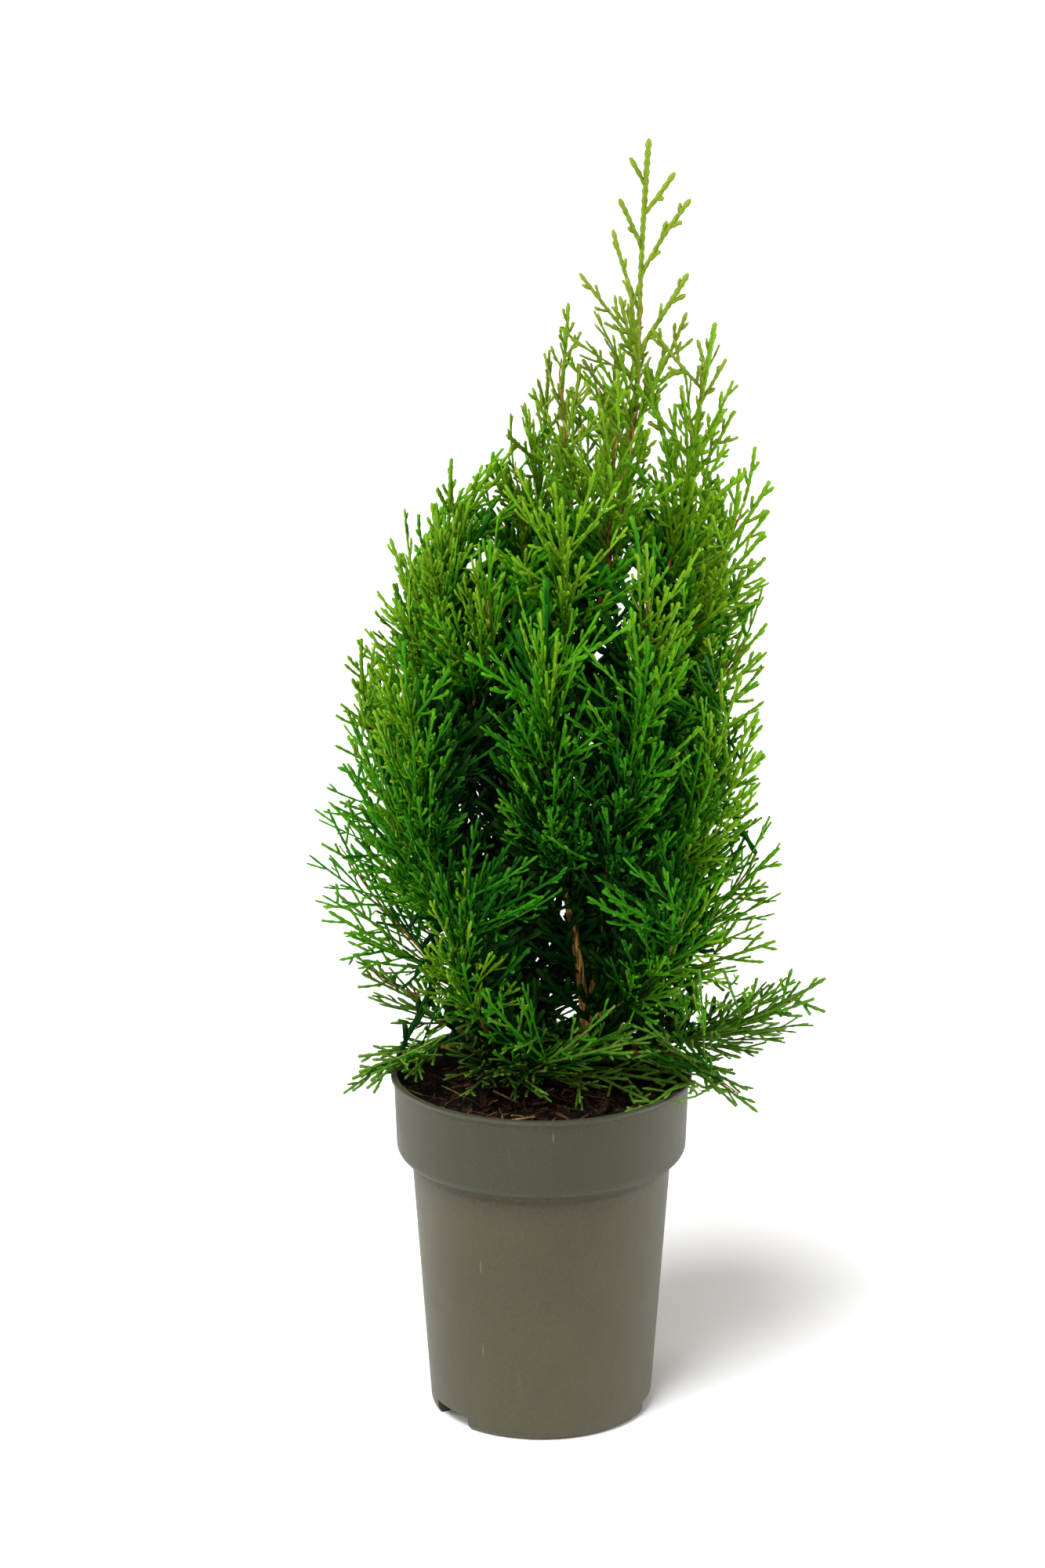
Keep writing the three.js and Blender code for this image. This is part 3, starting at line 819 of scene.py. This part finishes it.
def stem_ends():
    """The green ends of the stems, with long forked side shoots all round them."""
    groups = []
    for turn, name in enumerate(STEMS):
        path = LIMB_LINES[name]
        heights = path[-1, 2] - np.array([STEM_END_LENGTH, STEM_END_LENGTH / 2])
        foot, middle = path[np.searchsorted(path[:, 2], heights)]
        length = np.linalg.norm(path[-1] - foot)
        chord, half = (path[-1] - foot) / length, (middle - foot) / length
        azimuth = math.radians(90 + 25 * turn)
        axis = cords(
            start=[foot], aim=[4 * half - chord], bend=[2 * chord - 4 * half],
            flat=[[math.cos(azimuth), math.sin(azimuth), 0]], length=[length], width=[0.0025], light=[0.95],
        )
        groups.append(spray(axis, STEM_END))
    return gather(groups)


def grow_crown():
    """(all sprays, the middle lines of the woody shoots that carry them)."""
    envelope = Envelope([name for name in MASSES if "skirt" not in name and "droop" not in name])
    groups, shoots = [stem_ends()], []
    for name in MASSES:
        cuts = Slices(name)
        groups.append(mass_sprays(name, cuts, envelope))
        shoots.append(shoot_line(cuts))
    wood = np.vstack([*LIMB_LINES.values(), *shoots])
    wood = wood[wood[:, 2] > WOOD_FROM]
    for layer in FILLING:
        groups.append(filling_sprays(wood, envelope, *layer))
    return gather(groups), shoots


def dealt_light(made):
    """The lightness, a painted light and shade, by which each branchlet gets its green."""
    light = made["light"] + chance.normal(0, 0.03, len(made["light"]))
    x, height = made["start"][:, 0], made["start"][:, 2]
    light = np.minimum(light, np.interp(height, *np.transpose(LIGHTEST)))
    height = height - MOSSY_CLIMB * np.maximum(0, -x - MOSSY_LEFT)
    low_down = height + chance.normal(0, MOSSY_SPREAD, len(light)) < MOSSY_TOP
    return np.where((light > MOSSY_FROM) & low_down, MOSSY, light)


def build_foliage():
    """Sprays in pieces of one green each, and the shoots inside them."""
    made, shoots = grow_crown()
    light = dealt_light(made)
    low, pieces = -9.0, []
    # each piece gets one lit or shaded copy of the green, as painted light and shade
    for tone, high, colour, ring_step, leaves in GREENS:
        group = picked(made, (light >= low) & (light < high))
        low = high
        group = picked(group, np.argsort(group["start"][:, 2]))
        material = scale_leaf_material(f"scale_leaves_{tone}", colour, leaves)
        triangles = np.cumsum(ring_counts(group, ring_step) * 8)
        share = triangles // TRIANGLES_EACH
        for part in np.unique(share):
            points, faces = cord_mesh(picked(group, share == part), ring_step)
            pieces.append(new_piece(f"sprays_{tone}_{part + 1}", points, faces, material, "foliage"))
    young = bark_material("young_wood", (0.07, 0.028, 0.005), (0.24, 0.112, 0.018), (0.46, 0.24, 0.05))
    tubes = [tube(line, np.linspace(1.0, 0.4, len(line)) * MM, 6) for line in shoots]
    pieces.append(new_piece("shoots", *joined(tubes), young, "bark"))
    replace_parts(pieces[0], *MASSES)


# ---- pot ----

POT_WALL = 1.4 * MM
FOOT_RADIUS, FOOT_ROUNDING, BODY_FOOT = 0.0515, 0.005, 0.0556
BODY_TOP, COLLAR_FOOT, COLLAR_ROUNDING, COLLAR_HEIGHT = 0.0648, 0.0722, 0.0065, 0.133
LIP_STEP, LIP_HEIGHT, LIP_CORNER = 0.0016, 0.0023, 0.0006
NOTCHES = (-145, -10, 102.5)  # degrees, where the drain channels leave the pot
NOTCH_WIDTH, NOTCH_HEIGHT, CHANNEL_END = 0.026, 0.0075, 0.017
DRAIN_HOLE, DRAIN_REACH = 0.004, 0.034
POT_SEGMENTS = 144

# Small marks on the pot: their places and half sizes.
POT_SHADES = (  # place, half size, strength, colour: painted shade on the collar, and a painted shadow under its edge
    ((0, 0, 0.153), (1, 1, 0.030), 0.75, (0.023, 0.027, 0.016)),
    ((0, 0, 0.1298), (1, 1, 0.0018), 0.5, (0.022, 0.018, 0.009)),
)
POT_DRIPS = (
    ((-0.033, -0.0555, 0.129), (0.0013, 0.006, 0.005)), ((-0.022, -0.061, 0.128), (0.0008, 0.006, 0.003)),
)
POT_SCRATCHES = (
    ((-0.030, -0.054, 0.0925), (0.0004, 0.006, 0.005)), ((-0.029, -0.051, 0.047), (0.0003, 0.006, 0.004)),
    ((0.0055, -0.073, 0.167), (0.0006, 0.006, 0.003)),
)
POT_SPLASH = ((0.047, -0.030, 0.022), (0.013, 0.03, 0.012))


def rounding(centre_radius, centre_height, across, down, steps=9):
    """[radius, height] points of a quarter round from straight down to level."""
    turns = (1 - np.linspace(0, 1, steps)) * math.pi / 2
    return list(zip(centre_radius + across * np.cos(turns), centre_height - down * np.sin(turns)))


def pot_skin(inset):
    """[radius, height] points of the pot's skin moved inwards by inset, from the middle of its floor."""
    foot = rounding(FOOT_RADIUS - inset, FOOT_ROUNDING + inset, BODY_FOOT - FOOT_RADIUS, FOOT_ROUNDING)
    ledge = COLLAR_FOOT - COLLAR_ROUNDING - inset
    collar = rounding(ledge, COLLAR_HEIGHT + COLLAR_ROUNDING + inset, COLLAR_ROUNDING, COLLAR_ROUNDING)
    return [(0, inset)] + foot + [(BODY_TOP - inset, COLLAR_HEIGHT + inset)] + collar


def pot_outside():
    """The skin of the pot up to and round its rolled lip."""
    under = POT_TOP - LIP_HEIGHT
    lip = [
        (RIM_RADIUS - LIP_STEP, under - 0.6 * LIP_STEP), (RIM_RADIUS - LIP_CORNER, under),
        (RIM_RADIUS, under + LIP_CORNER), (RIM_RADIUS, POT_TOP - LIP_CORNER),
        (RIM_RADIUS - 0.3 * LIP_CORNER, POT_TOP - 0.3 * LIP_CORNER), (RIM_RADIUS - LIP_CORNER, POT_TOP),
    ]
    return pot_skin(0) + lip + [(0, POT_TOP)]


def lathe(profile, segments):
    """(points, faces) of a closed solid turned from [radius, height] points between two on the axis."""
    profile = np.array(profile, float)[:, [0, 0, 1]]
    points = (profile[1:-1, None] * np.vstack([circle(segments), np.ones(segments)]).T).reshape(-1, 3)
    return np.vstack([points, profile[0], profile[-1]]), closed_faces(len(profile) - 2, segments)


BOX_CORNERS = np.array([[x, y, z] for x in (0, 1) for y in (0, 1) for z in (0, 1)], float)
BOX_FACES = np.array([[0, 1, 3, 2], [4, 6, 7, 5], [0, 4, 5, 1], [2, 3, 7, 6], [0, 2, 6, 4], [1, 5, 7, 3]])


def cutters(points, faces, material):
    """Copies of a closed shape, turned to each drain channel."""
    places = [turned(points, UP[None], np.radians([degrees])) for degrees in NOTCHES]
    return [new_piece("cutter", place, faces, material, None) for place in places]


def channels(grow, material):
    """Cutters for the drain channels under the pot, larger by grow but for the underside."""
    low = np.array([CHANNEL_END - grow, -NOTCH_WIDTH / 2 - grow, -0.001])
    high = np.array([RIM_RADIUS, NOTCH_WIDTH / 2 + grow, NOTCH_HEIGHT + grow])
    return cutters(low + BOX_CORNERS * (high - low), [BOX_FACES], material)


def drain_holes(material):
    """Cutters for the round hole in each drain channel."""
    points, faces = lathe([(0, -0.001), (DRAIN_HOLE, -0.001), (DRAIN_HOLE, 0.02), (0, 0.02)], 32)
    return cutters(points + [DRAIN_REACH, 0, 0], faces, material)


def cut_all(piece, cutters):
    """Cuts closed pieces out of a closed piece, and drops them."""
    for cutter in cutters:
        cut = piece.modifiers.new("cut", "BOOLEAN")
        cut.operation = "DIFFERENCE"
        cut.solver = "EXACT"
        cut.object = cutter
    carved = bpy.data.meshes.new_from_object(piece.evaluated_get(bpy.context.evaluated_depsgraph_get()))
    piece.modifiers.clear()
    piece.data = carved
    for cutter in cutters:
        bpy.data.objects.remove(cutter)


def build_pot():
    """The pot: its skin, hollowed out, with drain channels and holes."""
    plastic = pot_material()
    above = POT_TOP + 0.001
    inside = pot_skin(POT_WALL) + [(RIM_RADIUS - LIP_STEP - POT_WALL, above), (0, above)]
    cavity = new_piece("cavity", *lathe(inside, POT_SEGMENTS), plastic, None)
    cut_all(cavity, channels(POT_WALL, plastic))
    pot = new_piece("nursery_pot", *lathe(pot_outside(), POT_SEGMENTS), plastic, "pot")
    cut_all(pot, [cavity] + channels(0, plastic) + drain_holes(plastic))
    pot.data.set_sharp_from_angle(angle=math.radians(40))
    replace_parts(pot, "pot")


def pot_material():
    """Satin grey-green plastic: faint grain, chalky scuffs, soil specks and a smear of soil, painted shade
    on the collar and a painted shadow under its edge.
    """
    nodes = Nodes("moulded_plastic")
    tone = nodes.ramp(nodes.noise(14.0, 4.0), (0.3, (0.043, 0.0415, 0.025)), (0.7, (0.052, 0.050, 0.030)))
    # painted shade on the collar and a painted shadow under its edge
    for place, size, strength, colour in POT_SHADES:
        tone = nodes.mix(nodes.spot(place, size, strength), tone, colour)
    grain = nodes.ramp(nodes.noise(900.0, 2.0), (0.3, grey(0.9)), (0.7, grey(1.1)))
    tone = nodes.mix(1.0, tone, grain, "MULTIPLY")
    scuffs = nodes.ramp(nodes.noise(150.0, 5.0, stretch=(1, 1, 0.3)), (0.68, grey(0.0)), (0.85, grey(0.08)))
    tone = nodes.mix(scuffs, tone, (0.20, 0.185, 0.14))
    for place, size in POT_SCRATCHES:
        tone = nodes.mix(nodes.spot(place, size, 0.25), tone, (0.26, 0.24, 0.18))
    specks = nodes.ramp(nodes.noise(420.0, 2.0), (0.62, grey(0.0)), (0.68, grey(0.8)))
    dusty = nodes.ramp(nodes.noise(16.0, 2.0), (0.6, grey(0.0)), (0.7, grey(1.0)))
    dusty = nodes.maths("MAXIMUM", dusty, nodes.spot(*POT_SPLASH, 3.0))
    tone = nodes.mix(nodes.maths("MULTIPLY", specks, dusty), tone, (0.045, 0.030, 0.018))
    for place, size in POT_DRIPS:
        tone = nodes.mix(nodes.spot(place, size, 0.8), tone, (0.050, 0.026, 0.010))
    nodes.set(Base_Color=tone, Specular_IOR_Level=0.35, Specular_Tint=(1.0, 0.90, 0.76))
    nodes.set(Roughness=nodes.between(nodes.noise(40.0, 4.0), 0.42, 0.60))
    nodes.bump(nodes.noise(2200.0, 2.0), 0.00005, 0.7)
    return nodes.material


# ---- soil ----

SOIL_LUMPS = ((0.0012, 0.03, 5), (0.0012, 0.011, 6), (0.0008, 0.005, 7))  # height, size, seed
SOIL_DROP = 0.0018  # of the middle of the lumps under the top of the solid
PEAT_RINGS, PEAT_SEGMENTS = 38, 120
PEAT_FOOT, PEAT_GAP = 0.009, 0.0003  # its lowest height, and its distance from the pot's wall


def soil_height(x, y):
    """Height of the lumpy top of the soil."""
    points = np.stack([x, y, np.zeros_like(x)], axis=-1)
    lumps = sum(height * waves(points, size, seed) for height, size, seed in SOIL_LUMPS)
    return SOIL_TOP - SOIL_DROP + lumps


def soil_material(name, dark, middle, light):
    """Rough crumbly matter of three colours."""
    nodes = Nodes(name)
    crumbs = nodes.noise(420.0, 5.0, roughness=0.7)
    tone = nodes.ramp(crumbs, (0.35, dark), (0.6, middle), (0.8, light))
    nodes.set(Base_Color=tone, Roughness=0.95, Specular_IOR_Level=0.15)
    nodes.bump(nodes.noise(900.0, 4.0), 0.0012)
    return nodes.material


def build_soil():
    """Peat with a lumpy top, and down to the floor of the pot under it."""
    reach = SOIL_RADIUS * np.sqrt(np.linspace(0.0006, 1, PEAT_RINGS))
    wall = [corner for corner in pot_skin(POT_WALL + PEAT_GAP) if corner[1] > PEAT_FOOT][::-1]
    profile = [(0, 0), *zip(reach, 0 * reach), *wall, (0, wall[-1][1])]
    points, faces = lathe(profile, PEAT_SEGMENTS)
    top = points[:PEAT_RINGS * PEAT_SEGMENTS]
    top[:, 2] = soil_height(top[:, 0], top[:, 1])
    points[-2, 2] = top[:PEAT_SEGMENTS, 2].mean()
    faces = [block[:, ::-1] for block in faces]
    peat = soil_material("peat", (0.0012, 0.0008, 0.0005), (0.007, 0.004, 0.0022), (0.045, 0.023, 0.012))
    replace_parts(new_piece("peat", points, faces, peat, "soil"), "soil")


LUMP = np.array([[1, 0, 0], [0, 1, 0], [-1, 0, 0], [0, -1, 0], [0, 0, 1], [0, 0, -1]], float) / 2
LUMP_FACES = closed_faces(1, 4)[1][:, ::-1]


def strewn(name, shape, faces, count, smallest, largest, tilt, material):
    """Copies of a small shape on the soil, each with its own size, dents, tilt and turn."""
    reach = (SOIL_RADIUS - 0.004) * np.sqrt(chance.uniform(size=count))
    turn = chance.uniform(0, 2 * math.pi, count)
    x, y = reach * np.cos(turn), reach * np.sin(turn)
    sizes = chance.uniform(smallest, largest, (count, 3))
    points = shape[None] * sizes[:, None] * chance.uniform(0.75, 1.2, (count, len(shape), 1))
    axes = unit(chance.normal(size=(count, 3)) * [1, 1, 0.1])
    points = turned(points, axes[:, None], np.radians(chance.normal(0, tilt, count))[:, None])
    points = turned(points, UP[None, None], chance.uniform(0, 2 * math.pi, count)[:, None])
    points += np.stack([x, y, soil_height(x, y)], axis=-1)[:, None]
    faces = [repeated(faces, count, len(shape))]
    return new_piece(name, points.reshape(-1, 3), faces, material, "soil", False)


def strewn_fibres(name, count, length, radius, material):
    """Thin curved fibres that lie on the soil, some with an end in the air."""
    parts = []
    for _ in range(count):
        reach = (SOIL_RADIUS - 0.006) * math.sqrt(chance.uniform())
        turn, heading = chance.uniform(0, 2 * math.pi, 2)
        share = np.linspace(0, 1, 6)
        angle = heading + share * chance.normal(0, 0.7)
        step = np.stack([np.cos(angle), np.sin(angle)], axis=-1) * chance.uniform(*length) / 5
        level = np.cumsum(step, axis=0) + [reach * math.cos(turn), reach * math.sin(turn)]
        level *= np.minimum(1, (SOIL_RADIUS - 0.003) / np.linalg.norm(level, axis=1, keepdims=True))
        height = soil_height(level[:, 0], level[:, 1]).max() + 0.0004 + share * abs(chance.normal(0, 0.003))
        parts.append(tube(np.column_stack([level, height]), np.full(6, chance.uniform(*radius)), 4))
    return new_piece(name, *joined(parts), material, "soil")


def build_litter():
    """Crumbs, bark chips, fibres and straw on the compost."""
    dark = soil_material("bark_chip", (0.006, 0.003, 0.002), (0.040, 0.018, 0.008), (0.16, 0.075, 0.032))
    light = soil_material("split_bark", (0.05, 0.022, 0.009), (0.17, 0.075, 0.028), (0.30, 0.16, 0.07))
    straw = soil_material("straw", (0.11, 0.06, 0.02), (0.28, 0.17, 0.07), (0.42, 0.29, 0.14))
    crumb = soil_material("crumb", (0.002, 0.001, 0.0007), (0.011, 0.006, 0.003), (0.06, 0.03, 0.015))
    box = BOX_CORNERS - 0.5
    strewn("crumbs", LUMP, LUMP_FACES, 900, (0.001, 0.001, 0.0008), (0.0045, 0.004, 0.0032), 40, crumb)
    strewn("chips_dark", box, BOX_FACES, 240, (0.003, 0.0014, 0.0006), (0.011, 0.004, 0.0018), 30, dark)
    strewn("chips_light", box, BOX_FACES, 60, (0.004, 0.0008, 0.0004), (0.014, 0.0026, 0.0012), 34, light)
    strewn_fibres("fibres", 70, (0.006, 0.018), (0.00012, 0.00026), light)
    strewn_fibres("straw_bits", 22, (0.006, 0.015), (0.0003, 0.0006), straw)


# ---- studio ----

CAMERA_PLACE, CAMERA_DOWN = (-0.0094, -2.36, 1.01), 16.2
CAMERA_LENS, CAMERA_SENSOR = 115.2, 36
SUN_AIM, SUN_BREADTH, SUN_STRENGTH = (0.26, 0.40, -0.88), 30, 4.2
LAMPS = (  # name, place, target, size, power, colour
    ("left", (-1.5, 0.2, 0.45), (0, 0, 0.35), 1.0, 11, (1.0, 0.96, 0.90)),
    ("right", (1.5, 0.2, 0.45), (0, 0, 0.35), 1.0, 18, (1.0, 0.96, 0.90)),
    ("front", (-0.5, -2.0, 1.3), (0, 0, 0.42), 1.2, 16, (1.0, 1.0, 1.0)),
)
SKY_FADE = {"From Min": 0.10, "From Max": 0.30, "To Min": 1.05, "To Max": 0.22}  # height, brightness
FLOOR_REACH = 9


def studio_sky():
    """A white sweep all round, dimmer overhead."""
    world = bpy.data.worlds.new("studio")
    world.use_nodes = True
    tree = world.node_tree
    parts = tree.nodes.new("ShaderNodeSeparateXYZ")
    height = tree.nodes.new("ShaderNodeMapRange")
    for name, value in SKY_FADE.items():
        height.inputs[name].default_value = value
    tree.links.new(tree.nodes.new("ShaderNodeTexCoord").outputs["Generated"], parts.inputs["Vector"])
    tree.links.new(parts.outputs["Z"], height.inputs["Value"])
    tree.links.new(height.outputs["Result"], tree.nodes["Background"].inputs["Strength"])
    tree.nodes["Background"].inputs["Color"].default_value = (1, 1, 1, 1)
    return world


def floor_material():
    """A pale, nearly even floor."""
    nodes = Nodes("pale_floor")
    tone = nodes.ramp(nodes.noise(3.0), (0.3, grey(0.91)), (0.7, grey(0.93)))
    nodes.set(Base_Color=tone, Roughness=0.9, Specular_IOR_Level=0.1)
    return nodes.material


def new_light(name, kind, aim, strength, **values):
    """A light that shines along aim."""
    light = bpy.data.objects.new(name, bpy.data.lights.new(name, kind))
    light.data.energy = strength
    for field, value in values.items():
        setattr(light.data, field, value)
    light.rotation_euler = Vector(aim).to_track_quat("-Z", "Y").to_euler()
    bpy.context.scene.collection.objects.link(light)
    return light


def build_studio():
    """The white studio: sky, sun, lamps, floor and camera."""
    scene = bpy.context.scene
    scene.view_settings.view_transform = "Standard"
    scene.world = studio_sky()
    new_light("key", "SUN", SUN_AIM, SUN_STRENGTH, angle=math.radians(SUN_BREADTH))
    for name, place, target, size, power, colour in LAMPS:
        aim = Vector(target) - Vector(place)
        lamp = new_light(name, "AREA", aim, power, shape="DISK", size=size, color=colour)
        lamp.location = place
    corners = FLOOR_REACH * np.array([[-1, -1, 0], [1, -1, 0], [1, 1, 0], [-1, 1, 0]], float)
    new_piece("floor", corners, [np.array([[0, 1, 2, 3]])], floor_material(), None)
    camera = bpy.data.objects.new("camera", bpy.data.cameras.new("camera"))
    camera.data.sensor_width = CAMERA_SENSOR
    camera.data.lens = CAMERA_LENS
    camera.location = CAMERA_PLACE
    camera.rotation_euler = (math.radians(90 - CAMERA_DOWN), 0, 0)
    scene.collection.objects.link(camera)
    scene.camera = camera


build_limbs()
build_foliage()
build_pot()
build_soil()
build_litter()
build_studio()
